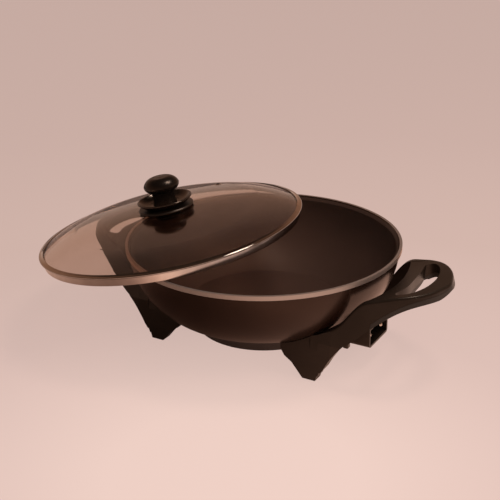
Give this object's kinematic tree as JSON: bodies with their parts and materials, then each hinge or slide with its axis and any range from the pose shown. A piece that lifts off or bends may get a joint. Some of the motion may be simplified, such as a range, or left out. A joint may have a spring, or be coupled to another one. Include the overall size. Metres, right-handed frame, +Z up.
{
  "type": "electric wok",
  "caption": "Electric wok: round deep bowl with a heating element under its floor, loop handles with legs, a socket guard at one end and a loose domed glass lid laid askew on the rim.",
  "frame": {"origin": "on the bowl's axis, at the height of the table that the four feet stand on", "axes": "+X along the two handles, towards the side with the power socket; +Z up"},
  "size_m": [0.5194, 0.3529, 0.191],
  "materials": {
    "bowl_lacquer": "glossy metallic outside, matt black non-stick inside, bare rim",
    "phenolic": "satin",
    "steel": "bright",
    "pin_brass": "nickel-plated",
    "glass": "clear, faint grey tint",
    "rubber": "matt",
    "ceramic": "unglazed"
  },
  "bodies": {
    "base": {"pan": "bowl_lacquer", "probe_sleeve": "steel", "heating_element": "steel", "terminal_bushings": "ceramic", "terminal_pins": "pin_brass", "base_shield": "bowl_lacquer", "base_shield_screws": "steel", "socket_guard": "phenolic", "socket_guard_screws": "steel", "handle_right": "phenolic", "grip_cover_right": "phenolic", "grip_screws_right": "steel", "leg_screws_right": "steel", "foot_pads_right": "rubber", "handle_left": "phenolic", "grip_cover_left": "phenolic", "grip_screws_left": "steel", "leg_screws_left": "steel", "foot_pads_left": "rubber"},
    "lid": {"lid_glass": "glass", "vent_eyelet": "steel", "lid_band": "steel", "knob_washer_upper": "rubber", "knob_collar": "phenolic", "knob_grip": "phenolic", "knob_insert": "pin_brass", "knob_washer_lower": "rubber", "knob_under_boss": "phenolic", "knob_screw": "steel"}
  },
  "joints": [
    {"name": "lid_lift", "type": "slide", "parent": "base", "child": "lid", "axis": [0, 0, 1], "range_m": [0, 0.2]}
  ]
}
